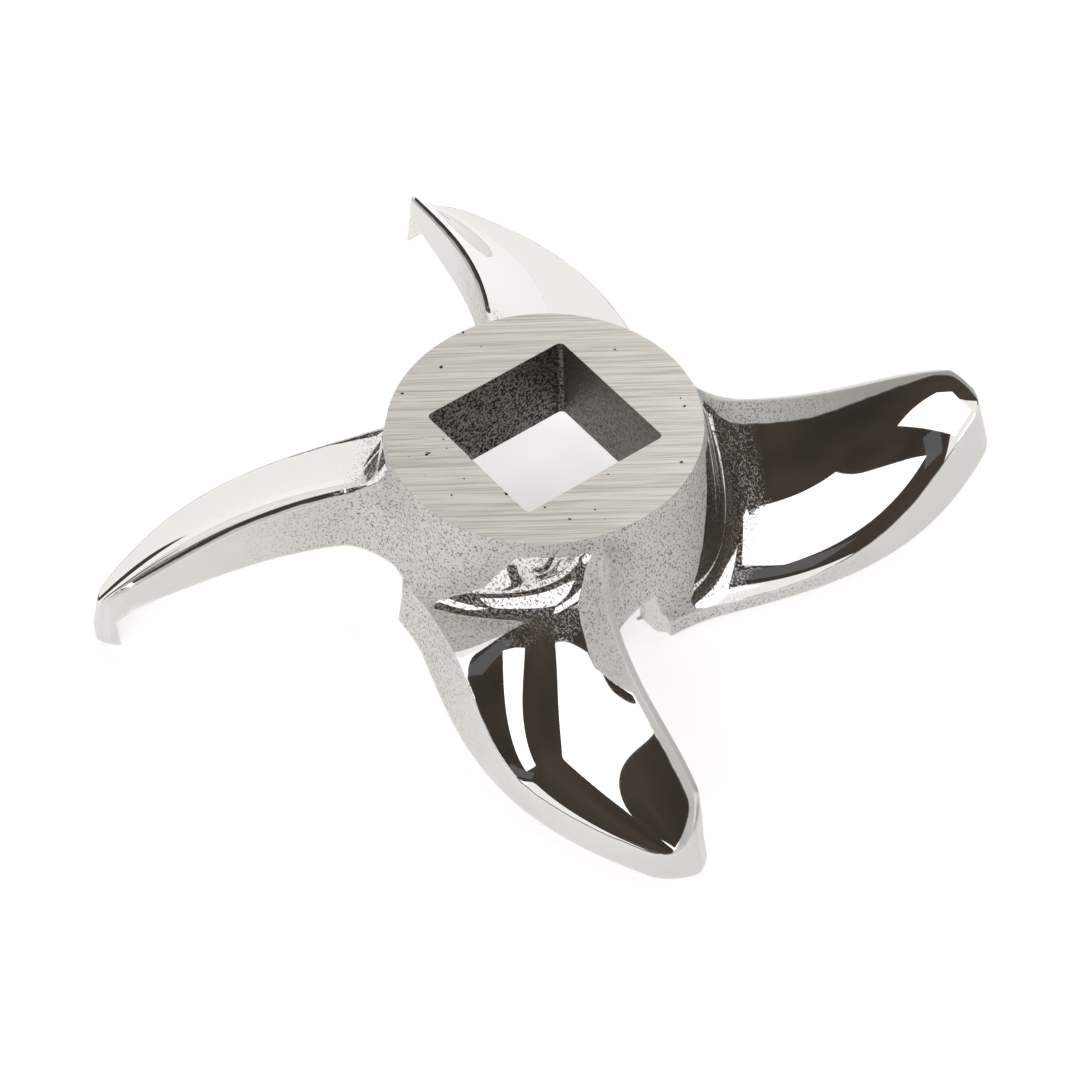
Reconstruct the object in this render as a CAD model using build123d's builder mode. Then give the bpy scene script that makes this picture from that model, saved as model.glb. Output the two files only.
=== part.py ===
"""Cast four-blade grinder knife: a flared hub with a square bore and four scooped blades.

Millimetres. The cutting plane is Z = 0, the ground hub face is up, and the bore's axis is Z.
The first blade points along +Y and cuts with its +X side; the others follow it round.
"""

from build123d import *
import os
from math import cos, radians, sin, tan

# Hub
hub_diameter = 32.0  # across the ground top face
overall_height = 15.0  # from the cutting plane to the ground top face
casting_draft = 11.0  # lean of the hub wall and of the blades' leading walls, degrees
bore_across_flats = 17.0
bore_corner_radius = 0.6
hub_recess_diameter = 31.0  # turned flat round the bore, on the cutting side

# Blades
blade_count = 4
blade_reach = 45.0  # from the axis to the end of the tip, along the blade
blade_root_fillet = 3.0  # hollow fillet where a blade leaves the hub wall
tip_centre_x = 16.4  # how far the tip's round end stands to the side of the hub's axis
tip_radius = 3.0

# Cutting lands, the rims that hang below the casting and carry the cutting edges
land_height = 5.0  # from the cutting plane up to the flat underside of the hub
land_width = 2.6
land_end_radius = 0.8  # upright corner where a land begins, clear of the hub
floor_thickness = 1.2  # metal under the scoop, beside the land
cut_past = 1.0  # how far a cutting tool runs past the cutting plane

# Scoop and crest, the ridge that the scoop climbs to
crest_pitch = 50.0  # slope of the scoop where it meets the crest, degrees
lip_pitch = 4.0  # how far the scoop still falls inwards at its lip, degrees
heel_draft = 2.0  # lean of the trailing wall below the crest, degrees

# How a blade changes from the hub's axis to its tip. Each pair is a share of blade_reach
# and a size there, and a smooth curve runs through the pairs.
flare = tan(radians(casting_draft))
edge_root = hub_diameter / 2 + overall_height * flare - 0.4
cutting_edge_bow = [(0.0, edge_root), (0.26, 22.2), (0.52, 24.5), (0.78, 22.75), (1.05, 16.9)]
crest_bow = [(0.0, -8.0), (0.34, 5.0), (0.56, 10.2), (0.78, 12.6), (1.05, 15.9)]
crest_heights = [(0.0, 14.2), (0.34, 12.3), (0.56, 10.8), (0.78, 9.2), (1.05, 4.4)]
crest_radii = [(0.0, 1.2), (1.0, 0.6)]
lip_heights = [(0.0, 3.4), (0.26, 2.1), (0.52, 1.9), (0.78, 2.3), (1.05, 3.0)]
blade_sections = [0.0, 0.175, 0.35, 0.525, 0.7, 0.875, 1.05]
hollow_sections = [-0.05, 0.153, 0.356, 0.559, 0.762, 0.965]


def along(pairs, share):
    """The size at a share of the blade's reach, on the polynomial through the pairs."""
    total = 0.0
    for here, size in pairs:
        term = size
        for other, _ in pairs:
            if other != here:
                term *= (share - other) / (here - other)
        total += term
    return total


def heel_line(share, low_z):
    """The trailing wall's line, from where it leaves the crest down to a height."""
    radius = along(crest_radii, share)
    lean = radians(heel_draft)
    top_x = along(crest_bow, share) - radius * cos(lean)
    top_z = along(crest_heights, share) - radius + radius * sin(lean)
    return (top_x, top_z), (top_x - (top_z - low_z) * tan(lean), low_z)


def section_plane(share):
    """The upright plane across the blade at a share of its reach."""
    return Plane.XZ.offset(-share * blade_reach)


# One blade, solid down to the cutting plane that it is ground off at: leading wall, scoop,
# crest and trailing wall
with BuildPart() as blade:
    for share in blade_sections:
        edge_x = along(cutting_edge_bow, share)
        lip_z = along(lip_heights, share)
        lip = (edge_x - lip_z * flare, lip_z)
        wall_foot = (edge_x + cut_past * flare, -cut_past)
        crest = (along(crest_bow, share), along(crest_heights, share))
        radius = along(crest_radii, share)
        pitch = radians(crest_pitch)
        scoop_top = (crest[0] + radius * sin(pitch), crest[1] - radius + radius * cos(pitch))
        dip = radians(lip_pitch)
        heel_top, heel_foot = heel_line(share, -cut_past)
        with BuildSketch(section_plane(share)):
            with BuildLine():
                Line(wall_foot, lip)
                Spline(lip, scoop_top, tangents=[(-cos(dip), -sin(dip)), (-cos(pitch), sin(pitch))])
                ThreePointArc(scoop_top, crest, heel_top)
                Polyline(heel_top, heel_foot, wall_foot)
            make_face()
    loft()
    land_end = blade.edges().group_by(Axis.Y)[0].sort_by(Axis.X)[-1]
    fillet(land_end, land_end_radius)
    split(bisect_by=Plane.XY)

# What is cut off beyond the round end of the tip, leaning in with the casting's draft
with BuildPart() as tip_waste:
    with BuildSketch():
        with Locations((tip_centre_x, blade_reach - tip_radius / 2)):
            Rectangle(8 * tip_radius, 4 * tip_radius, align=(Align.CENTER, Align.MIN))
        with Locations((tip_centre_x, blade_reach - tip_radius)):
            Circle(tip_radius, mode=Mode.SUBTRACT)
    extrude(amount=overall_height, dir=(0, -flare, 1))

# The hollow under the blade, behind the land and the foot at the tip. Its roof curves up from
# the land to the trailing wall, and it opens through that wall and under the hub.
with BuildPart() as hollow:
    for share in hollow_sections:
        wall_x = along(cutting_edge_bow, share) - land_width
        floor_z = along(lip_heights, share) - floor_thickness
        heel_x = heel_line(share, land_height)[1][0]
        with BuildSketch(section_plane(share)):
            with BuildLine():
                Line((wall_x, -cut_past), (wall_x, floor_z))
                TangentArc((wall_x, floor_z), (heel_x, land_height), tangent=(-1, 0))
                Polyline(
                    (heel_x, land_height),
                    (-hub_diameter, land_height),
                    (-hub_diameter, -cut_past),
                    (wall_x, -cut_past),
                )
            make_face()
    loft()

# The whole casting
with BuildPart() as grinder_knife:
    with BuildSketch(Plane.XZ):
        with BuildLine():
            Polyline(
                (0, land_height),
                (hub_diameter / 2 + (overall_height - land_height) * flare, land_height),
                (hub_diameter / 2, overall_height),
                (0, overall_height),
                close=True,
            )
        make_face()
    revolve()
    with PolarLocations(0, blade_count):
        add(blade.part - tip_waste.part - hollow.part)
    hub_wall = grinder_knife.faces().filter_by(GeomType.CONE).sort_by(SortBy.AREA)[-1]
    fillet(hub_wall.edges().filter_by(GeomType.BSPLINE), blade_root_fillet)
    with BuildSketch():
        Circle(hub_recess_diameter / 2)
    extrude(amount=land_height, mode=Mode.SUBTRACT)
    with BuildSketch():
        RectangleRounded(bore_across_flats, bore_across_flats, bore_corner_radius)
    extrude(amount=overall_height, mode=Mode.SUBTRACT)

os.makedirs("parts", exist_ok=True)
grinder_knife.part.label = "grinder_knife"
export_step(grinder_knife.part, "parts/grinder_knife.step")
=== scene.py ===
from math import cos, hypot, pi, radians, sin, tan

import bmesh
import bpy
import numpy as np
from mathutils import Matrix, Vector
from mathutils.kdtree import KDTree


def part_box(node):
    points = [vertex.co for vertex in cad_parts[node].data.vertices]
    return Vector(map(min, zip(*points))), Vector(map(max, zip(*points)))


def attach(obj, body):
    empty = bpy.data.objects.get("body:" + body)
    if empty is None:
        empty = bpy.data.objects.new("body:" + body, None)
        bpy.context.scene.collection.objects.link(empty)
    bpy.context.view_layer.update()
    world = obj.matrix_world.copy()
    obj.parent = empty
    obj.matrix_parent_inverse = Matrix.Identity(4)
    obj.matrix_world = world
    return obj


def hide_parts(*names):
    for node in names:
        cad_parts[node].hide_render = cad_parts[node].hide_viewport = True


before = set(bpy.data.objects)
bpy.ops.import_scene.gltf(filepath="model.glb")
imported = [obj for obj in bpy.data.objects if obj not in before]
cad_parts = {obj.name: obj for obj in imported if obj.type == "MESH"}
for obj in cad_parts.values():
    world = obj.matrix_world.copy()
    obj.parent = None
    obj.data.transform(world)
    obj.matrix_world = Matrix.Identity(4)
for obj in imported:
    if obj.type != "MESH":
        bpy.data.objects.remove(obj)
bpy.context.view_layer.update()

MILLIMETRE = 0.001
HEIGHT = 15.0


class Wire:
    """A value on its way from one node to the next, reckoned with like a number."""

    def __init__(self, finish, socket):
        self.finish = finish
        self.socket = socket

    def reckon(self, operation, first, second):
        return self.finish.add("ShaderNodeMath", {"operation": operation}, {0: first, 1: second})

    def __add__(self, other):
        return self.reckon("ADD", self, other)

    def __radd__(self, other):
        return self.reckon("ADD", other, self)

    def __sub__(self, other):
        return self.reckon("SUBTRACT", self, other)

    def __rsub__(self, other):
        return self.reckon("SUBTRACT", other, self)

    def __mul__(self, other):
        return self.reckon("MULTIPLY", self, other)

    def __rmul__(self, other):
        return self.reckon("MULTIPLY", other, self)

    def __truediv__(self, other):
        return self.reckon("DIVIDE", self, other)


class Finish:
    """One material, its nodes added a call at a time."""

    def __init__(self, name):
        self.material = bpy.data.materials.new(name)
        self.material.use_nodes = True
        self.tree = self.material.node_tree
        self.tree.nodes.clear()

    def add(self, kind, settings=None, values=None, output=0):
        node = self.tree.nodes.new(kind)
        for name, value in (settings or {}).items():
            setattr(node, name, value)
        for name, value in (values or {}).items():
            if isinstance(value, Wire):
                self.tree.links.new(value.socket, node.inputs[name])
            else:
                node.inputs[name].default_value = value
        return Wire(self, node.outputs[output]) if node.outputs else None

    def ramp(self, value, low, high, start=0.0, end=1.0):
        """Start below low, end above high, and a soft step between."""
        return self.add("ShaderNodeMapRange", {"interpolation_type": "SMOOTHSTEP"}, {
            "Value": value, "From Min": low, "From Max": high, "To Min": start, "To Max": end,
        })

    def larger(self, first, second):
        return self.add("ShaderNodeMath", {"operation": "MAXIMUM"}, {0: first, 1: second})

    def size_of(self, value):
        return self.add("ShaderNodeMath", {"operation": "ABSOLUTE"}, {0: value})

    def noise(self, place, scale, detail=2.0):
        return self.add("ShaderNodeTexNoise", {}, {"Vector": place, "Scale": scale, "Detail": detail})

    def mix(self, share, first, second):
        """Two colours, mixed: all first at 0 and all second at 1."""
        return self.add("ShaderNodeMix", {"data_type": "RGBA"}, {0: share, 6: first, 7: second}, output=2)


GRIND_TURN = radians(54.0)      # direction the hub's top was ground in
PITS = [        # each one's place on the top, and its size, in millimetres
    (-13.1, -3.3, 0.24), (-12.5, -8.6, 0.18), (12.4, 7.7, 0.2), (8.9, -6.7, 0.16), (-4.2, 12.1, 0.14),
]


def steel_finish():
    """Stainless casting: mirror scoops, satin edges, pitted cast skin and ground flats."""
    steel = Finish("ground_cast_steel")
    spot = steel.add("ShaderNodeTexCoord", output="Object")
    x, y, z = [
        steel.add("ShaderNodeSeparateXYZ", {}, {"Vector": spot}, output=axis) * (1 / MILLIMETRE)
        for axis in range(3)
    ]
    radius = steel.add("ShaderNodeMath", {"operation": "SQRT"}, {0: x * x + y * y})
    polish = steel.add("ShaderNodeAttribute", {"attribute_name": "polish"}, output=2)
    edge = steel.add("ShaderNodeAttribute", {"attribute_name": "edge"}, output=2)

    # Where each finish is, 0 to 1
    top = steel.ramp(z, HEIGHT - 0.09, HEIGHT - 0.03)
    foot = steel.ramp(z, 0.05, 0.02)
    from_axis = steel.larger(steel.size_of(x), steel.size_of(y))
    in_bore = steel.ramp(from_axis, 8.66, 8.58) * (1.0 - top) * (1.0 - foot)
    blotches = steel.noise(spot, 420.0, 3.0)
    near_hub = steel.ramp(radius, 23.5, 17.0)
    ragged = polish + (blotches - 0.5) * (near_hub * 0.8 + 0.22)
    mirror = steel.ramp(ragged, -0.10, 0.10)
    flat = steel.larger(top, foot)
    cast = steel.ramp(radius + (blotches - 0.5) * 9.0, 36.0, 19.0) * (1.0 - mirror) * (1.0 - flat)
    # Near sharp edges, off the hub's top: a painted highlight along the edges, partly edge wear
    edge_highlight_and_wear = steel.ramp(edge, 0.35, 0.02) * (1.0 - flat) * steel.ramp(radius, 16.0, 16.4)

    # Ground lines on the flats, cast grain, and the faint waves of hand polishing
    lines = steel.add("ShaderNodeMapping", {"vector_type": "TEXTURE"}, {
        "Vector": spot, "Rotation": (0.0, 0.0, GRIND_TURN), "Scale": (0.02, 0.00021, 0.01),
    })
    fine_lines = steel.add("ShaderNodeMapping", {"vector_type": "TEXTURE"}, {
        "Vector": spot, "Rotation": (0.0, 0.0, GRIND_TURN + 0.02), "Scale": (0.005, 0.00009, 0.01),
    })
    coarse = steel.noise(lines, 1.0, 2.0)
    fine = steel.noise(fine_lines, 1.0, 1.0)
    ground = coarse * 0.6 + fine * 0.4
    grain = steel.noise(spot, 3800.0, 3.0)
    fine_grain = steel.noise(spot, 8500.0, 2.0)
    waves = steel.noise(spot, 95.0, 1.0)
    tone = steel.noise(spot, 160.0, 3.0)

    # Dark pits in the ground top
    pitted = 0.0
    for pit_x, pit_y, size in PITS:
        away = steel.add("ShaderNodeVectorMath", {"operation": "DISTANCE"}, {
            0: spot, 1: (pit_x * MILLIMETRE, pit_y * MILLIMETRE, HEIGHT * MILLIMETRE),
        }, output=1) * (1 / MILLIMETRE)
        pitted = steel.larger(steel.ramp(away + (grain - 0.5) * 0.3, size, size * 0.5), pitted)
    pitted = steel.larger(pitted, steel.ramp(steel.noise(spot, 900.0, 2.0), 0.262, 0.235)) * top

    # Colours
    grey = steel.mix(tone, (0.72, 0.705, 0.68, 1.0), (0.86, 0.85, 0.83, 1.0))
    specks = steel.ramp(grain * 0.6 + fine_grain * 0.4, 0.485, 0.39)
    rough_grey = steel.mix(specks * cast, grey, (0.25, 0.23, 0.21, 1.0))
    shown = steel.mix(mirror, rough_grey, (0.80, 0.785, 0.765, 1.0))
    left_pits = steel.ramp(grain * 0.6 + fine_grain * 0.4, 0.46, 0.41) * near_hub * mirror
    shown = steel.mix(left_pits * 0.8, shown, (0.10, 0.09, 0.08, 1.0))
    scored = steel.ramp(ground, 0.34, 0.60)
    top_grey = steel.mix(scored, (0.43, 0.405, 0.365, 1.0), (0.66, 0.63, 0.585, 1.0))
    shown = steel.mix(flat, shown, top_grey)
    shown = steel.mix(pitted, shown, (0.05, 0.045, 0.04, 1.0))
    # Painted shade in the square bore: its walls are coloured dark, the grain patches darker still, most
    # of all on the -X wall
    bore_grain_and_shade = steel.ramp(grain, 0.56, 0.42) * steel.ramp(x, -7.4, -8.3, 0.35, 1.0)
    bore_painted_shade = steel.mix(bore_grain_and_shade, (0.20, 0.182, 0.16, 1.0), (0.035, 0.031, 0.026, 1.0))
    shown = steel.mix(in_bore, shown, bore_painted_shade)
    # Painted highlight along the sharp edges, partly edge wear: the steel's colour lightened there
    shown = steel.mix(edge_highlight_and_wear * 0.7, shown, (0.88, 0.87, 0.85, 1.0))

    # Roughness
    satin_rough = 0.30 + tone * 0.14
    cast_rough = satin_rough + cast * (0.2 + specks * 0.2)
    mirror_rough = 0.025 + steel.ramp(fine_grain, 0.6, 0.75) * 0.05
    roughness = cast_rough * (1.0 - mirror) + mirror_rough * mirror
    roughness = roughness * (1.0 - flat) + (0.26 + ground * 0.16) * flat
    roughness = roughness * (1.0 - in_bore) + in_bore * (0.42 + bore_grain_and_shade * 0.3)
    roughness = roughness + pitted * 0.3 + left_pits * 0.25
    metallic = 1.0 - (1.0 - mirror) * (1.0 - flat) * (1.0 - in_bore) * (0.6 + cast * 0.1)

    # Relief in millimetres
    relief = (grain * 0.06 + fine_grain * 0.025) * steel.larger(cast, in_bore * 0.8)
    relief = relief - left_pits * 0.012
    relief = relief + waves * mirror * 0.035 + fine_grain * (1.0 - mirror) * 0.0035
    relief = relief + ground * flat * 0.012 - pitted * 0.06
    bump = steel.add("ShaderNodeBump", {}, {"Height": relief, "Strength": 1.0, "Distance": MILLIMETRE})
    shader = steel.add("ShaderNodeBsdfPrincipled", {}, {
        "Base Color": shown, "Metallic": metallic, "Roughness": roughness, "Normal": bump,
    })
    steel.add("ShaderNodeOutputMaterial", {}, {"Surface": shader})
    return steel.material


PAPER_GLOW = 0.46       # the paper's own light, which lifts it to white


def floor_finish():
    """Matt white paper."""
    paper = Finish("white_paper")
    shader = paper.add("ShaderNodeBsdfPrincipled", {}, {
        "Base Color": (0.93, 0.93, 0.93, 1.0), "Roughness": 0.9,
        "Emission Color": (1.0, 1.0, 1.0, 1.0), "Emission Strength": PAPER_GLOW,
    })
    paper.add("ShaderNodeOutputMaterial", {}, {"Surface": shader})
    return paper.material


# --- the casting's form -------------------------------------------------------------------

# Sizes in millimetres. A blade is worked out along +Y, cutting with its +X side.
HUB_RADIUS = 16.0
REACH = 45.0
DRAFT = tan(radians(11.0))
HEEL_LEAN = radians(2.0)
SCOOP_PITCH = radians(50.0)
LIP_DIP = radians(4.0)
LAND_HEIGHT = 5.0
LAND_WIDTH = 2.6
FLOOR_THICKNESS = 1.2
LAND_END_RADIUS = 0.8
BORE_ACROSS_FLATS = 17.0
BORE_CORNER = 0.6
RECESS_RADIUS = 15.5
CREST_ROUND_AT_HUB = 1.2
CREST_ROUND_LOST = 0.6          # from the hub's axis to the tip
LEAST_SCOOP_RISE = 1.6          # the lip always stays this far below the crest
RIM_BEVEL = 0.12
SHARP_EDGE = radians(32.0)      # faces that meet at more than this keep a crisp edge
SAME_PLACE = 1e-7               # metres; corners nearer than this are one
TIP_LEAD_ROUND = 3.0
TIP_HEEL_ROUND = 2.2
TIP_TOP = REACH - 4.2 * DRAFT
SCOOP_ROOT_FILLET = 2.2
HEEL_ROOT_FILLET = 4.6

# What changes from the hub's axis to the tip: shares of the reach, and a size at each
HUB_FOOT = HUB_RADIUS + HEIGHT * DRAFT
EDGE_BOW = [(0.0, HUB_FOOT - 0.4), (0.26, 22.2), (0.52, 24.5), (0.78, 22.75), (1.05, 16.9)]
CREST_BOW = [(0.0, -8.0), (0.34, 5.0), (0.56, 10.2), (0.78, 12.6), (1.05, 15.9)]
CREST_HEIGHTS = [(0.0, 14.2), (0.34, 12.3), (0.56, 10.8), (0.78, 9.2), (1.05, 4.4)]
CAST_LIP = [(0.0, 3.4), (0.26, 2.1), (0.52, 1.9), (0.78, 2.3), (1.05, 3.0)]


def along(pairs, share):
    """The size at a share of the reach, on the smooth curve through the pairs."""
    total = 0.0
    for here, size in pairs:
        term = size
        for other, _ in pairs:
            if other != here:
                term = term * (share - other) / (here - other)
        total = total + term
    return total


def cast_lip(share):
    """Height of the lip above the cutting plane, as cast."""
    return along(CAST_LIP, share)


def lip_ground_at_tip(share):
    """A lip whose leading wall was ground taller towards the tip."""
    start = 0.22
    most = 0.55
    softness = 0.05
    lowest = 1.25
    growth = 15.3
    ground = -softness * np.log(np.exp((start - share) / softness) + np.exp(-most / softness))
    return lowest + growth * np.clip(ground, 0, None) ** 2


def lip_ground_at_root(share):
    """A lip whose leading wall was left tall beside the hub."""
    lowest = 2.8
    growth = 4.4
    return lowest + growth * smooth_step(share, -0.15, 0.33) * (1 - smooth_step(share, 0.3, 0.62))


def slope_along(pairs, share):
    step = 0.001
    return (along(pairs, share + step) - along(pairs, share - step)) / (2 * step * REACH)


def round_outside(first, second, radius):
    """Depth in what two bodies share, its outer corner rounded."""
    inside = np.minimum(-radius, np.maximum(first, second))
    return inside + np.hypot(np.maximum(radius + first, 0), np.maximum(radius + second, 0))


def round_inside(first, second, radius):
    """Depth in two bodies joined, the corner between them filled by a fillet."""
    outside = np.maximum(radius, np.minimum(first, second))
    return outside - np.hypot(np.maximum(radius - first, 0), np.maximum(radius - second, 0))


def bezier(ends, t):
    u = 1 - t
    return u**3 * ends[0] + 3 * u * u * t * ends[1] + 3 * u * t * t * ends[2] + t**3 * ends[3]


def bezier_slope(ends, t):
    u = 1 - t
    return 3 * (
        u * u * (ends[1] - ends[0]) + 2 * u * t * (ends[2] - ends[1]) + t * t * (ends[3] - ends[2])
    )


def smooth_step(value, low, high):
    t = np.clip((value - low) / (high - low), 0, 1)
    return t * t * (3 - 2 * t)


class Blade:
    """One blade: each `..._depth` is below 0 inside its body and 0 on its surface."""

    def __init__(self, lip):
        self.lip = lip

    def section(self, share):
        """The scoop's curve from lip to crest, and the crest's round, across the blade."""
        crest_x, crest_z = along(CREST_BOW, share), along(CREST_HEIGHTS, share)
        crest_round = CREST_ROUND_AT_HUB - CREST_ROUND_LOST * share
        edge_x = along(EDGE_BOW, share)
        lip_z = np.minimum(self.lip(share), crest_z - LEAST_SCOOP_RISE)
        lip_x = edge_x - lip_z * DRAFT
        top_x = crest_x + crest_round * sin(SCOOP_PITCH)
        top_z = crest_z - crest_round + crest_round * cos(SCOOP_PITCH)
        bend = SCOOP_PITCH + LIP_DIP
        reach = np.hypot(lip_x - top_x, top_z - lip_z) * (4 / 3) * tan(bend / 4) / (2 * sin(bend / 2))
        xs = [lip_x, lip_x - reach * cos(LIP_DIP), top_x + reach * cos(SCOOP_PITCH), top_x]
        zs = [lip_z, lip_z - reach * sin(LIP_DIP), top_z - reach * sin(SCOOP_PITCH), top_z]
        return xs, zs, crest_x, crest_z, crest_round

    def on_section(self, share, across):
        """A point on the top: across is 0 at the lip, 1 at the scoop's top, 2 past the crest."""
        xs, zs, crest_x, crest_z, crest_round = self.section(share)
        t = np.clip(across, 0, 1)
        turn = pi / 2 - SCOOP_PITCH + np.clip(across - 1, 0, 1) * (SCOOP_PITCH + pi / 2 - HEEL_LEAN)
        x = np.where(across > 1, crest_x + crest_round * np.cos(turn), bezier(xs, t))
        z = np.where(across > 1, crest_z - crest_round + crest_round * np.sin(turn), bezier(zs, t))
        return np.stack([x, share * REACH + 0 * x, z], -1)

    def end_depth(self, p):
        return (p[..., 1] - REACH + p[..., 2] * DRAFT) / hypot(1, DRAFT)

    def heel_depth(self, p):
        """Trailing wall, and its turn round the tip."""
        share = np.clip(p[..., 1] / REACH, -0.1, 1.08)
        _, _, crest_x, crest_z, crest_round = self.section(share)
        heel_top = crest_z - crest_round + crest_round * sin(HEEL_LEAN)
        heel_x = crest_x - crest_round * cos(HEEL_LEAN) - (heel_top - p[..., 2]) * tan(HEEL_LEAN)
        heel = (heel_x - p[..., 0]) * cos(HEEL_LEAN) / np.hypot(1, slope_along(CREST_BOW, share))
        return round_outside(heel, self.end_depth(p), TIP_HEEL_ROUND)

    def top_depth(self, p):
        """Scoop, crest and trailing wall."""
        x, z = p[..., 0], p[..., 2]
        share = np.clip(p[..., 1] / REACH, -0.1, 1.08)
        xs, zs, _, _, crest_round = self.section(share)
        t = np.clip((xs[0] - x) / (xs[0] - xs[3]), 0, 1)
        for _ in range(6):
            t = np.clip(t - (bezier(xs, t) - x) / bezier_slope(xs, t), 0, 1)
        run, rise = bezier_slope(xs, t), bezier_slope(zs, t)
        height = bezier(zs, t) + (x - bezier(xs, t)) * rise / run
        scoop = (z - height) * np.abs(run) / np.hypot(run, rise)
        return round_outside(scoop, self.heel_depth(p), crest_round)

    def wall_depth(self, p):
        """Leading wall, and its turn round the tip."""
        share = np.clip(p[..., 1] / REACH, -0.1, 1.08)
        lead = p[..., 0] - along(EDGE_BOW, share) + p[..., 2] * DRAFT
        lead = lead / np.sqrt(1 + slope_along(EDGE_BOW, share) ** 2 + DRAFT**2)
        return round_outside(lead, self.end_depth(p), TIP_LEAD_ROUND)

    def depth(self, p):
        blade = np.maximum(np.maximum(self.top_depth(p), self.wall_depth(p)), -p[..., 1])
        share = p[..., 1] / REACH
        beyond_crest = smooth_step(along(CREST_BOW, share) - p[..., 0], -4.0, 3.0)
        fillet = SCOOP_ROOT_FILLET + (HEEL_ROOT_FILLET - SCOOP_ROOT_FILLET) * beyond_crest
        fillet = np.clip(np.minimum(fillet, 1.2 * (HEIGHT - p[..., 2])), 0.05, None)
        return round_inside(blade, hub_depth(p), fillet)


def hub_depth(p):
    return (np.hypot(p[..., 0], p[..., 1]) - HUB_RADIUS - (HEIGHT - p[..., 2]) * DRAFT) / hypot(1, DRAFT)


def gradient(depth, p):
    step = 0.01
    parts = []
    for axis in range(3):
        move = np.zeros(3)
        move[axis] = step
        parts.append((depth(p + move) - depth(p - move)) / (2 * step))
    return np.stack(parts, -1)


def settle(depth, p, ways=(1, 1, 1), steps=6):
    """Moves points onto a body's surface, only the ways given."""
    for _ in range(steps):
        steepest = gradient(depth, p) * np.array(ways)
        value = depth(p)[..., None]
        p = p - np.clip(value * steepest / np.maximum((steepest**2).sum(-1, keepdims=True), 0.04), -1, 1)
    return p


def settle_edge(first, second, p, steps=12):
    """Moves points onto the line where two surfaces meet."""
    for _ in range(steps):
        a, b = first(p), second(p)
        to_a, to_b = gradient(first, p), gradient(second, p)
        aa, bb, ab = (to_a**2).sum(-1) + 0.01, (to_b**2).sum(-1) + 0.01, (to_a * to_b).sum(-1)
        share_a = (a * bb - b * ab) / (aa * bb - ab * ab)
        share_b = (b * aa - a * ab) / (aa * bb - ab * ab)
        p = p - np.clip(share_a[..., None] * to_a + share_b[..., None] * to_b, -1, 1)
    return p


# --- its skin, as grids of points ---------------------------------------------------------

WALL_ROWS = 16
BLADE_ROWS = 120
TIP_ROWS = 16
SCOOP_COLUMNS = 52
CREST_COLUMNS = 12
NOTCH_COLUMNS = 24
SKIRT_ROWS = 12
HOLLOW_STATIONS = 60
ROOF_POINTS = 14
CUT_PAST = 1.0
TIP_CENTRE = np.array([16.4, 41.6, 0.0])
TIP_LEAD_END = radians(14.0)
TIP_HEEL_END = radians(-16.0)
TIP_BLUNT_ROWS = 5


def tip_outline(blade, wall, bearing, across):
    """Points round the tip on rays from its centre, at the height of one line of the top."""
    ray = np.stack([np.sin(bearing), np.cos(bearing), 0 * bearing], -1)
    near, far = np.zeros(len(ray)), np.full(len(ray), 9.0)
    for _ in range(30):
        reach = (near + far) / 2
        p = TIP_CENTRE + reach[:, None] * ray
        p[:, 2] = blade.on_section(np.clip(p[:, 1] / REACH, 0, 0.985), np.full(len(p), across))[:, 2]
        outside = wall(p) > 0
        near, far = np.where(outside, near, reach), np.where(outside, reach, far)
    return p


def top_of_blade(blade):
    """Rows from the hub's rim down its wall and out to the tip, columns from lip to crest."""
    across = np.concatenate([
        np.linspace(0, 1, SCOOP_COLUMNS, endpoint=False), np.linspace(1, 2, CREST_COLUMNS),
    ])
    low, high = np.zeros(across.shape), np.full(across.shape, 0.5)
    for _ in range(30):
        middle = (low + high) / 2
        in_hub = hub_depth(blade.on_section(middle, across)) < 0
        low, high = np.where(in_hub, middle, low), np.where(in_hub, high, middle)
    root = blade.on_section(high, across)
    bearing = np.arctan2(root[:, 0], root[:, 1])
    z = HEIGHT + (root[:, 2] - HEIGHT) * np.linspace(0, 1, WALL_ROWS, endpoint=False)[:, None]
    radius = HUB_RADIUS + (HEIGHT - z) * DRAFT
    wall = np.stack([radius * np.sin(bearing), radius * np.cos(bearing), z], -1)

    tip_start = TIP_TOP - TIP_LEAD_ROUND
    share = high + (tip_start / REACH - high) * np.linspace(0, 1, BLADE_ROWS)[:, None]
    lines = blade.on_section(share, np.broadcast_to(across, share.shape))
    last = lines[-1]
    portion = (last[:, 0] - last[-1, 0]) / (last[0, 0] - last[-1, 0])
    sides = []
    for column, side, end_bearing, line in (
        (0, blade.wall_depth, TIP_LEAD_END, 0.0), (-1, blade.heel_depth, TIP_HEEL_END, 2.0),
    ):
        start = last[column] - TIP_CENTRE
        first_bearing = np.arctan2(start[0], start[1])
        bearing = first_bearing + (end_bearing - first_bearing) * np.linspace(0, 1, TIP_ROWS + 1)[1:]
        sides.append(tip_outline(blade, side, bearing, line))
    lead, heel = sides
    tip = heel[:, None] + portion[:, None] * (lead - heel)[:, None]
    tip[:, :, 2] = blade.on_section(tip[:, :, 1] / REACH, np.broadcast_to(across, tip.shape[:2]))[..., 2]

    grid = np.concatenate([wall, lines, tip])
    rim = grid[0].copy()
    scoop_at_tip = np.s_[WALL_ROWS + BLADE_ROWS:, 1:SCOOP_COLUMNS]
    grid[scoop_at_tip] = settle(blade.top_depth, grid[scoop_at_tip], (0, 0, 1), 8)
    grid = settle(blade.depth, grid, steps=8)
    lip = grid[WALL_ROWS + 1:-TIP_BLUNT_ROWS, 0]
    lip = settle_edge(blade.top_depth, blade.wall_depth, lip)
    grid[WALL_ROWS + 1:-TIP_BLUNT_ROWS, 0] = settle(blade.depth, lip, steps=6)
    grid[0] = rim
    return grid


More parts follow.
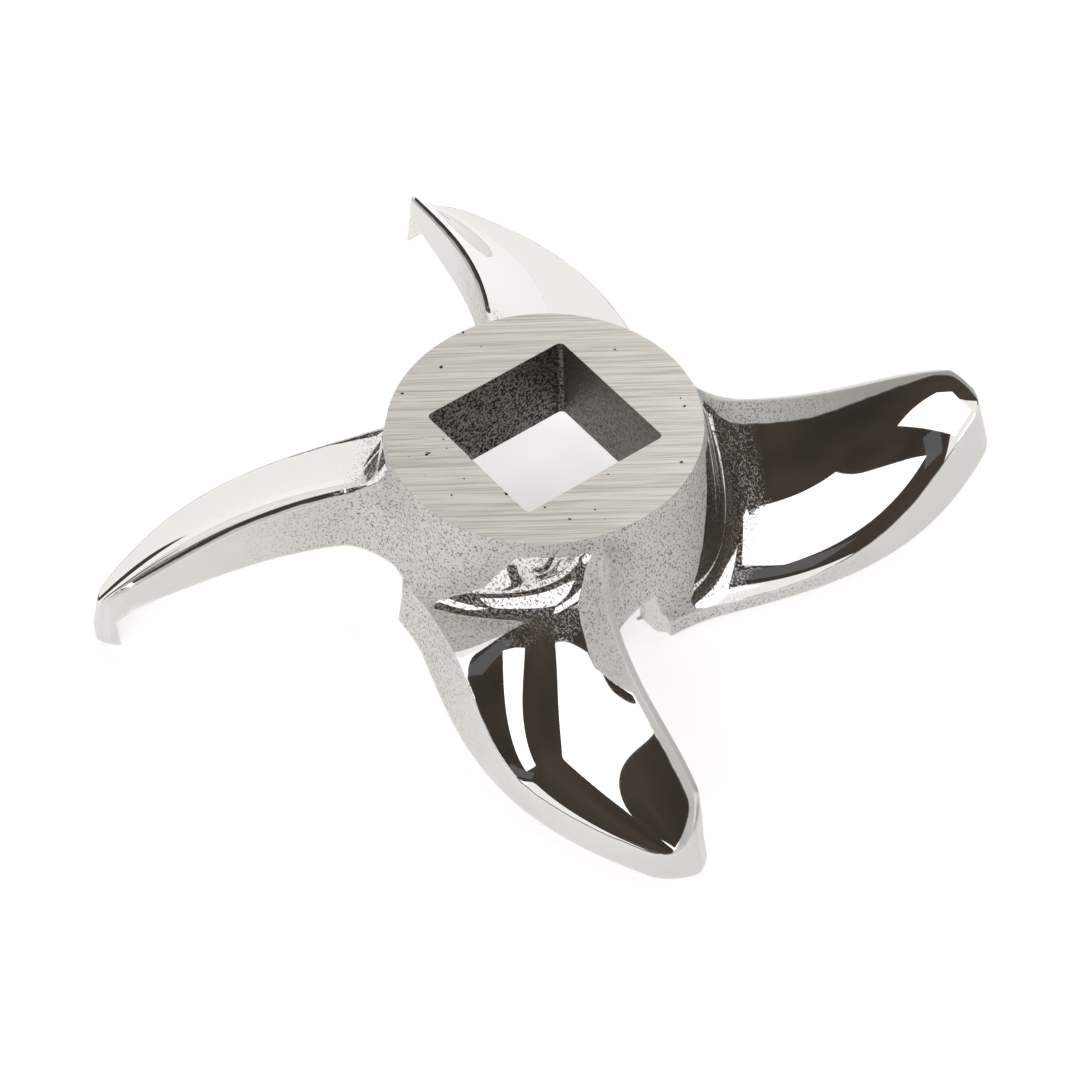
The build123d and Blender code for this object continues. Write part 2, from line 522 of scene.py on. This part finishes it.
def turned(p, turns):
    """Points carried round the hub from the first blade to a later one, clockwise from above."""
    bearing = -turns * pi / 2
    x, y = p[..., 0], p[..., 1]
    return np.stack([
        x * cos(bearing) - y * sin(bearing), x * sin(bearing) + y * cos(bearing), p[..., 2],
    ], -1)


class Skin:
    """Points and faces of the closed skin, gathered a grid at a time."""

    def __init__(self):
        self.points = []
        self.faces = []
        self.count = 0

    def add_points(self, p):
        """Keeps a block of points and returns their numbers."""
        numbers = np.arange(self.count, self.count + p[..., 0].size).reshape(p.shape[:-1])
        self.points.append(p.reshape(-1, 3))
        self.count += numbers.size
        return numbers

    def add_grid(self, numbers):
        """Faces over a grid of point numbers."""
        corners = [numbers[:-1, :-1], numbers[1:, :-1], numbers[1:, 1:], numbers[:-1, 1:]]
        self.faces.extend(np.stack(corners, -1).reshape(-1, 4).tolist())


def feet(depth, edge):
    """Where the walls come down to the cutting plane, below each point of their top edge."""
    level = np.array([1.0, 1.0, 0.0])
    outward = gradient(depth, edge - np.array([0, 0, 0.5])) * level
    for turns in (0, 1):
        from_tip = (edge - turned(TIP_CENTRE, turns)) * level
        from_tip = from_tip / np.linalg.norm(from_tip, axis=-1, keepdims=True)
        y = turned(edge, -turns)[:, 1:2]
        near_tip = smooth_step(y, TIP_CENTRE[1] - 2.0, TIP_CENTRE[1] + 1.0)
        outward = outward + (from_tip - outward) * near_tip
    outward = outward / np.linalg.norm(outward, axis=-1, keepdims=True)
    below = edge * level + outward * edge[:, 2:] * DRAFT
    for _ in range(12):
        slope = (gradient(depth, below) * outward).sum(-1)
        below = below - outward * np.clip(depth(below) / np.maximum(slope, 0.3), -1, 1)[:, None]
    for _ in range(8):
        below[1:-1] = (below[:-2] + 2 * below[1:-1] + below[2:]) / 4
    below = settle(depth, below, (1, 1, 0), 6)
    return below


def join_blades(blades, tops):
    """The closed skin over all four blades and the hub, solid down to the cutting plane."""
    skin = Skin()
    numbers = [skin.add_points(turned(top, turns)) for turns, top in enumerate(tops)]
    for grid in numbers:
        skin.add_grid(grid)
    rim, foot = [], []
    for turns, blade in enumerate(blades):
        after = (turns + 1) % len(blades)
        following = blades[after]

        def notch_depth(p):
            return np.minimum(blade.depth(p), following.depth(turned(p, -1)))

        lead, heel = tops[turns][:WALL_ROWS + 1, 0], turned(tops[after][:WALL_ROWS + 1, -1], 1)
        share = np.linspace(0, 1, NOTCH_COLUMNS)[:, None]
        ends = [np.arctan2(side[:, 0], side[:, 1]) for side in (lead, heel)]
        bearing = ends[0] + (ends[1] - ends[0]) * share
        z = lead[:, 2] + (heel[:, 2] - lead[:, 2]) * share
        radius = HUB_RADIUS + (HEIGHT - z) * DRAFT
        wall = np.stack([radius * np.sin(bearing), radius * np.cos(bearing), z], -1).transpose(1, 0, 2)
        wall[1:] = settle(notch_depth, wall[1:], (1, 1, 0), 8)
        inner = skin.add_points(turned(wall[:, 1:-1], turns))
        lead_line, heel_line = numbers[turns], numbers[after]
        wall_numbers = np.column_stack([
            lead_line[:WALL_ROWS + 1, 0], inner, heel_line[:WALL_ROWS + 1, -1],
        ])
        skin.add_grid(wall_numbers[:, ::-1])
        rim.append(np.concatenate([numbers[turns][0, ::-1], wall_numbers[0, 1:-1]]))

        edge_numbers = np.concatenate([
            lead_line[-1, ::-1], lead_line[WALL_ROWS:-1, 0][::-1],
            wall_numbers[WALL_ROWS, 1:-1], heel_line[WALL_ROWS:, -1],
        ])
        edge = np.concatenate([
            tops[turns][-1, ::-1], tops[turns][WALL_ROWS:-1, 0][::-1],
            wall[WALL_ROWS, 1:-1], turned(tops[after][WALL_ROWS:, -1], 1),
        ])
        below = feet(notch_depth, edge)
        share = (np.linspace(0, 1, SKIRT_ROWS + 1)[1:, None, None]) ** 1.2
        skirt = edge + (below - edge) * share
        skirt[:-1] = settle(notch_depth, skirt[:-1], (1, 1, 0), 8)
        skirt_numbers = skin.add_points(turned(skirt[:, :-1], turns))
        foot.append((skirt_numbers, edge_numbers))
    for turns, (skirt_numbers, edge_numbers) in enumerate(foot):
        next_first = foot[(turns + 1) % len(foot)][0][:, :1]
        whole = np.vstack([edge_numbers, np.hstack([skirt_numbers, next_first])])
        skin.add_grid(whole[:, ::-1])
    rim_loop = np.concatenate(rim)
    points = np.concatenate(skin.points)
    flattened = points[rim_loop] * np.array([1, 1, 0]) * (1 - RIM_BEVEL / HUB_RADIUS)
    ring = flattened + np.array([0, 0, HEIGHT])
    top_ring = skin.add_points(ring)
    bevel = np.vstack([np.append(rim_loop, rim_loop[0]), np.append(top_ring, top_ring[0])])
    skin.add_grid(bevel[:, ::-1])
    skin.faces.append(top_ring[::-1].tolist())
    foot_loop = np.concatenate([numbers[-1] for numbers, _ in foot])
    foot_loop = np.append(foot_loop, foot_loop[0])
    sunk = np.concatenate(skin.points)[foot_loop[:-1]] - np.array([0, 0, CUT_PAST / 2])
    sunk_loop = skin.add_points(sunk)
    sunk_loop = np.append(sunk_loop, sunk_loop[0])
    skin.add_grid(np.vstack([foot_loop, sunk_loop])[:, ::-1])
    centre = skin.add_points(np.array([[0, 0, -CUT_PAST / 2]]))[0]
    skin.faces.extend([centre, first, second] for first, second in zip(sunk_loop[:-1], sunk_loop[1:]))
    return np.concatenate(skin.points), skin.faces


def hollow_rings(blade):
    """Rings round what is taken out under a blade, behind its land and the foot at its tip."""
    rings = []
    for y in np.linspace(-0.5, 0.965 * REACH, HOLLOW_STATIONS):
        share = y / REACH
        wall_x = along(EDGE_BOW, share) - LAND_WIDTH
        floor_z = min(cast_lip(share), float(blade.lip(share))) - FLOOR_THICKNESS
        heel_round = CREST_ROUND_AT_HUB - CREST_ROUND_LOST * share
        heel_drop = along(CREST_HEIGHTS, share) - heel_round - LAND_HEIGHT
        heel_x = along(CREST_BOW, share) - heel_round - heel_drop * tan(HEEL_LEAN)
        left = land_end_line(y)
        run, rise = wall_x - heel_x, LAND_HEIGHT - floor_z
        radius = (run**2 + rise**2) / (2 * rise)
        x = np.linspace(wall_x, max(heel_x, left + 0.3), ROOF_POINTS)
        roof = floor_z + radius - np.sqrt(radius**2 - (wall_x - x) ** 2)
        ring_x = np.concatenate([x, [left, left, wall_x]])
        ring_z = np.concatenate([roof, [roof[-1], -CUT_PAST, -CUT_PAST]])
        rings.append(np.stack([ring_x, np.full_like(ring_x, y), ring_z], -1))
    return np.array(rings)


def land_end_line(y):
    """How far the hollow reaches to the side, round the rounded end of the next blade's land."""
    corner = HUB_FOOT - 0.4 - LAND_END_RADIUS
    if y < corner - 3.5:
        return -0.5
    if y < corner:
        return 0.0
    into = min((y - corner) / LAND_END_RADIUS, 1.0)
    return -LAND_END_RADIUS * (1 - np.sqrt(1 - into**2)) if y < corner + 2.0 else 0.0


def hollow_cutter(blades):
    """The four hollows, as closed bodies."""
    cutter = Skin()
    for turns, blade in enumerate(blades):
        numbers = cutter.add_points(turned(hollow_rings(blade), turns))
        cutter.add_grid(np.column_stack([numbers, numbers[:, 0]]))
        cutter.faces.append(numbers[0].tolist())
        cutter.faces.append(numbers[-1, ::-1].tolist())
    return np.concatenate(cutter.points), cutter.faces


# --- Blender objects ----------------------------------------------------------------------


def closed_object(name, points, faces):
    """A closed mesh in the scene, its faces turned outwards."""
    mesh = bpy.data.meshes.new(name)
    mesh.from_pydata((points * MILLIMETRE).tolist(), [], faces)
    shape = bmesh.new()
    shape.from_mesh(mesh)
    bmesh.ops.triangulate(shape, faces=[face for face in shape.faces if len(face.verts) > 4])
    bmesh.ops.recalc_face_normals(shape, faces=shape.faces)
    shape.to_mesh(mesh)
    shape.free()
    piece = bpy.data.objects.new(name, mesh)
    bpy.context.scene.collection.objects.link(piece)
    return piece


class Tree:
    """A tree of Geometry Nodes, its named sizes first."""

    def __init__(self, name, sizes):
        self.tree = bpy.data.node_groups.new(name, "GeometryNodeTree")
        face = self.tree.interface
        face.new_socket("Casting", in_out="INPUT", socket_type="NodeSocketGeometry")
        self.sockets = {
            label: face.new_socket(label, in_out="INPUT", socket_type=kind).identifier
            for label, kind in sizes.items()
        }
        face.new_socket("Finished", in_out="OUTPUT", socket_type="NodeSocketGeometry")
        self.inputs = self.tree.nodes.new("NodeGroupInput").outputs

    def add(self, kind, settings=None, values=None, output=0):
        node = self.tree.nodes.new(kind)
        for name, value in (settings or {}).items():
            setattr(node, name, value)
        for name, value in (values or {}).items():
            for part in value if isinstance(value, list) else [value]:
                if isinstance(part, bpy.types.NodeSocket):
                    self.tree.links.new(part, node.inputs[name])
                else:
                    node.inputs[name].default_value = part
        return node.outputs[output] if len(node.outputs) else None


def cutting_tree():
    """Cuts the square bore, the turned recess round it and the hollows out of the casting."""
    tree = Tree("bore_and_hollows", {
        "Bore across flats": "NodeSocketFloat", "Bore corner": "NodeSocketFloat",
        "Recess radius": "NodeSocketFloat", "Recess depth": "NodeSocketFloat",
        "Cut through": "NodeSocketFloat", "Hollows": "NodeSocketObject", "Steel": "NodeSocketMaterial",
    })
    size = tree.inputs
    square = tree.add("GeometryNodeCurvePrimitiveQuadrilateral", {"mode": "RECTANGLE"}, {
        "Width": size["Bore across flats"], "Height": size["Bore across flats"],
    })
    rounded = tree.add("GeometryNodeFilletCurve", {"mode": "POLY"}, {
        "Curve": square, "Count": 6, "Radius": size["Bore corner"],
    })
    length = tree.add("ShaderNodeCombineXYZ", {}, {"Z": size["Cut through"]})
    axis = tree.add("GeometryNodeCurvePrimitiveLine", {"mode": "POINTS"}, {
        "Start": (0.0, 0.0, -MILLIMETRE), "End": length,
    })
    bore = tree.add("GeometryNodeCurveToMesh", {}, {
        "Curve": axis, "Profile Curve": rounded, "Fill Caps": True,
    })
    twice = tree.add("ShaderNodeMath", {"operation": "MULTIPLY"}, {0: size["Recess depth"], 1: 2.0})
    recess = tree.add("GeometryNodeMeshCylinder", {}, {
        "Vertices": 160, "Radius": size["Recess radius"], "Depth": twice,
    })
    hollows = tree.add("GeometryNodeObjectInfo", {}, {"Object": size["Hollows"]}, output="Geometry")
    block = tree.add("GeometryNodeMeshCube", {}, {
        "Size": (0.1, 0.1, 2 * MILLIMETRE), "Vertices X": 30, "Vertices Y": 30, "Vertices Z": 2,
    })
    table = tree.add("GeometryNodeTransform", {}, {
        "Geometry": block, "Translation": (0.0, 0.0, -MILLIMETRE),
    })
    shapes = (bore, recess, hollows, table)
    cutters = [tree.add("GeometryNodeTriangulate", {}, {"Mesh": shape}) for shape in shapes]
    cut = tree.add("GeometryNodeMeshBoolean", {"operation": "DIFFERENCE", "solver": "MANIFOLD"}, {
        "Mesh 1": size["Casting"], "Mesh 2": cutters,
    })
    whole = tree.add("GeometryNodeRealizeInstances", {}, {"Geometry": cut})
    steel = tree.add("GeometryNodeSetMaterial", {}, {"Geometry": whole, "Material": size["Steel"]})
    tree.add("NodeGroupOutput", {}, {"Finished": steel})
    return tree


def cut_casting(casting, hollows, steel):
    """The casting with its bore and hollows cut, as a plain mesh."""
    tree = cutting_tree()
    modifier = casting.modifiers.new("cuts", "NODES")
    modifier.node_group = tree.tree
    sizes = {
        "Bore across flats": BORE_ACROSS_FLATS * MILLIMETRE, "Bore corner": BORE_CORNER * MILLIMETRE,
        "Recess radius": RECESS_RADIUS * MILLIMETRE, "Recess depth": LAND_HEIGHT * MILLIMETRE,
        "Cut through": (HEIGHT + CUT_PAST) * MILLIMETRE, "Hollows": hollows, "Steel": steel,
    }
    for label, value in sizes.items():
        modifier[tree.sockets[label]] = value
    bpy.context.view_layer.update()
    evaluated = casting.evaluated_get(bpy.context.evaluated_depsgraph_get())
    finished = bpy.data.meshes.new_from_object(evaluated)
    casting.modifiers.remove(modifier)
    casting.data = finished
    bpy.data.objects.remove(hollows)
    form = bmesh.new()
    form.from_mesh(finished)
    for corner in form.verts:
        corner.co.z = max(corner.co.z, 0.0)
    bmesh.ops.remove_doubles(form, verts=form.verts, dist=SAME_PLACE)
    form.to_mesh(finished)
    form.free()
    return casting


OUTSIDE = -9.0          # polish, in millimetres, well outside every scoop
POLISH_TOP = 13.4       # the buffing wheel reaches no higher up the hub's wall
POLISH_REACH = 0.8      # how far below the scoop's surface a point still counts as on it

# The satin band along each blade's crest: distances out from the hub's axis, and its width there
CREST_BANDS = (
    [(0.0, 2.2), (25.0, 2.2), (40.0, 0.8)], [(0.0, 3.4), (24.0, 3.2), (30.0, 1.2)],
    [(0.0, 0.25), (45.0, 0.25)], [(0.0, 0.25), (45.0, 0.25)],
)


def polished_depth(blade, crest_bands, p):
    """How far a point lies inside the buffed part of a blade's scoop, in millimetres."""
    on_hub = np.exp(-np.clip(hub_depth(p), 0, None) / 0.8)
    crest_band = np.interp(p[..., 1], *zip(*crest_bands))
    crest_band = crest_band + (0.3 - crest_band) * on_hub
    lip_band = 0.12 + 0.52 * p[..., 2] * on_hub
    parts = (
        -blade.wall_depth(p) - lip_band, -blade.heel_depth(p) - crest_band,
        POLISH_TOP - p[..., 2], POLISH_REACH + blade.top_depth(p),
    )
    return np.minimum.reduce(parts)


def mark_skin(knife, blades):
    """Writes on each point of the mesh how polished it is and how far it is from a sharp edge."""
    mesh = knife.data
    count = len(mesh.vertices)
    flat_places = np.empty(count * 3)
    mesh.vertices.foreach_get("co", flat_places)
    p = flat_places.reshape(-1, 3) / MILLIMETRE
    polish = np.full(count, OUTSIDE)
    for turns, blade in enumerate(blades):
        in_blade = turned(p, -turns)
        inside = polished_depth(blade, CREST_BANDS[turns], in_blade)
        polish = np.maximum(polish, np.where(in_blade[:, 1] > 0, inside, OUTSIDE))
    form = bmesh.new()
    form.from_mesh(mesh)
    sharp = [e for e in form.edges if e.is_manifold and e.calc_face_angle() > SHARP_EDGE]
    corners = {v.index: v.co.copy() for e in sharp for v in e.verts}
    form.free()
    tree = KDTree(len(corners))
    for number, place in corners.items():
        tree.insert(place, number)
    tree.balance()
    edge = [tree.find(v.co)[2] / MILLIMETRE for v in mesh.vertices]
    for name, values in (("polish", polish), ("edge", edge)):
        mesh.attributes.new(name, "FLOAT", "POINT").data.foreach_set("value", values)


lips = (lip_ground_at_tip, lip_ground_at_root, cast_lip, cast_lip)
blades = [Blade(lip) for lip in lips]
points, faces = join_blades(blades, [top_of_blade(blade) for blade in blades])
knife = closed_object("knife", points, faces)
hollows = closed_object("hollows", *hollow_cutter(blades))
knife = cut_casting(knife, hollows, steel_finish())
mark_skin(knife, blades)
knife.data.shade_smooth()
knife.data.set_sharp_from_angle(angle=SHARP_EDGE)
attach(knife, "root")
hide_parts("grinder_knife")

FLOOR_ACROSS = 6.0
FLOOR_BELOW = 0.0001    # a hair under the lands, so the two surfaces don't fight

bpy.ops.mesh.primitive_plane_add(size=FLOOR_ACROSS, location=(0.0, 0.0, -FLOOR_BELOW))
floor = bpy.context.object
floor.name = "floor"
floor.data.materials.append(floor_finish())


LIGHT_AWAY = 1.5        # metres from the knife to each panel


def softbox(
    name, compass, height, width_angle, height_angle, brightness, colour=(1.0, 1.0, 1.0), along=None,
):
    """A plain panel that faces the knife: all angles in degrees, compass from +Y towards +X."""
    light = bpy.data.lights.new(name, "AREA")
    light.shape = "RECTANGLE"
    light.size = 2 * LIGHT_AWAY * tan(radians(width_angle / 2))
    light.size_y = 2 * LIGHT_AWAY * tan(radians(height_angle / 2))
    light.energy = brightness * pi * light.size * light.size_y
    light.color = colour
    lamp = bpy.data.objects.new(name, light)
    bpy.context.scene.collection.objects.link(lamp)
    level = cos(radians(height))
    away = Vector((level * sin(radians(compass)), level * cos(radians(compass)), sin(radians(height))))
    lamp.location = away * LIGHT_AWAY
    wide = Vector(along) if along else Vector((0.0, 0.0, 1.0)).cross(away)
    tall = away.cross(wide).normalized()
    lamp.rotation_euler = Matrix((tall.cross(away), tall, away)).transposed().to_euler()
    return lamp


softbox("back_softbox", 312.0, 27.5, 54.0, 56.0, 1.0)
softbox("ceiling_softbox", 63.0, 79.0, 50.0, 13.0, 1.7, along=(1.0, -0.12, 0.0))
softbox("far_softbox", 357.0, 53.0, 54.0, 19.0, 1.7)
softbox("left_softbox", 221.0, 33.0, 22.0, 40.0, 1.7)
softbox("front_softbox", 150.0, 40.0, 56.0, 40.0, 1.5)
softbox("window", 325.0, 66.0, 24.0, 10.0, 0.09, (0.72, 0.86, 1.0))

world = bpy.data.worlds.new("room")
world.use_nodes = True
around = world.node_tree.nodes.new("ShaderNodeTexCoord")
clutter = world.node_tree.nodes.new("ShaderNodeTexNoise")
clutter.inputs["Scale"].default_value = 1.7
clutter.inputs["Detail"].default_value = 3.0
tint = world.node_tree.nodes.new("ShaderNodeMix")
tint.data_type = "RGBA"
tint.inputs[6].default_value = (0.012, 0.010, 0.009, 1.0)
tint.inputs[7].default_value = (0.11, 0.088, 0.068, 1.0)
world.node_tree.links.new(around.outputs["Generated"], clutter.inputs["Vector"])
world.node_tree.links.new(clutter.outputs[0], tint.inputs[0])
world.node_tree.links.new(tint.outputs[2], world.node_tree.nodes["Background"].inputs["Color"])
bpy.context.scene.world = world


CAMERA_TURN = radians(54.264)       # about the upright axis
CAMERA_TIP = radians(42.443)        # up from looking straight down
CAMERA_ROLL = radians(-1.722)
HUB_IN_VIEW = Vector((0.00047, 0.01145, -0.4407))   # hub's top, from the camera

camera_data = bpy.data.cameras.new("camera")
camera_data.sensor_width = 36.0
camera_data.lens = 146.53
camera_data.clip_start = 0.01
camera = bpy.data.objects.new("camera", camera_data)
bpy.context.scene.collection.objects.link(camera)
camera_turned = (
    Matrix.Rotation(CAMERA_TURN, 4, "Z")
    @ Matrix.Rotation(CAMERA_TIP, 4, "X")
    @ Matrix.Rotation(CAMERA_ROLL, 4, "Z")
)
hub_top = Vector((0.0, 0.0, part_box("grinder_knife")[1][2]))
camera.matrix_world = Matrix.Translation(hub_top) @ camera_turned @ Matrix.Translation(-HUB_IN_VIEW)
bpy.context.scene.camera = camera
bpy.context.scene.view_settings.view_transform = "Standard"
